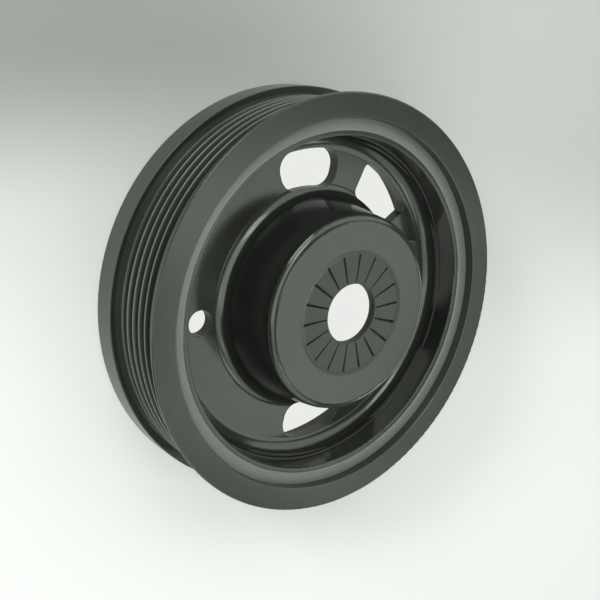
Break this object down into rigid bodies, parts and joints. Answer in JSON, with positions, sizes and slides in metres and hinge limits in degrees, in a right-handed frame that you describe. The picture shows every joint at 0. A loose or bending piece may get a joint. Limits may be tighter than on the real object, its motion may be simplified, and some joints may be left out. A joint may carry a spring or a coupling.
{
  "type": "harmonic balancer",
  "caption": "Crankshaft damper pulley: a cast ring with ribbed belt grooves, bonded by a rubber ring to a cast hub that has a raised cup, arched windows and a serrated bolt seat.",
  "frame": {"origin": "centre of the ring's rear face, on the crankshaft axis", "axes": "+Z along the crankshaft axis towards the front of the engine, +Y through the middle window, -Y through the round timing hole"},
  "size_m": [0.137, 0.137, 0.0397],
  "materials": {
    "ring_coat": "thin dark coat, satin, turned marks showing through",
    "rubber": "matte, dusted with the coat",
    "hub_coat": "thin dark coat, semi-gloss"
  },
  "bodies": {
    "root": {"inertia_ring": "ring_coat", "rubber_ring": "rubber", "hub": "hub_coat"}
  },
  "joints": []
}
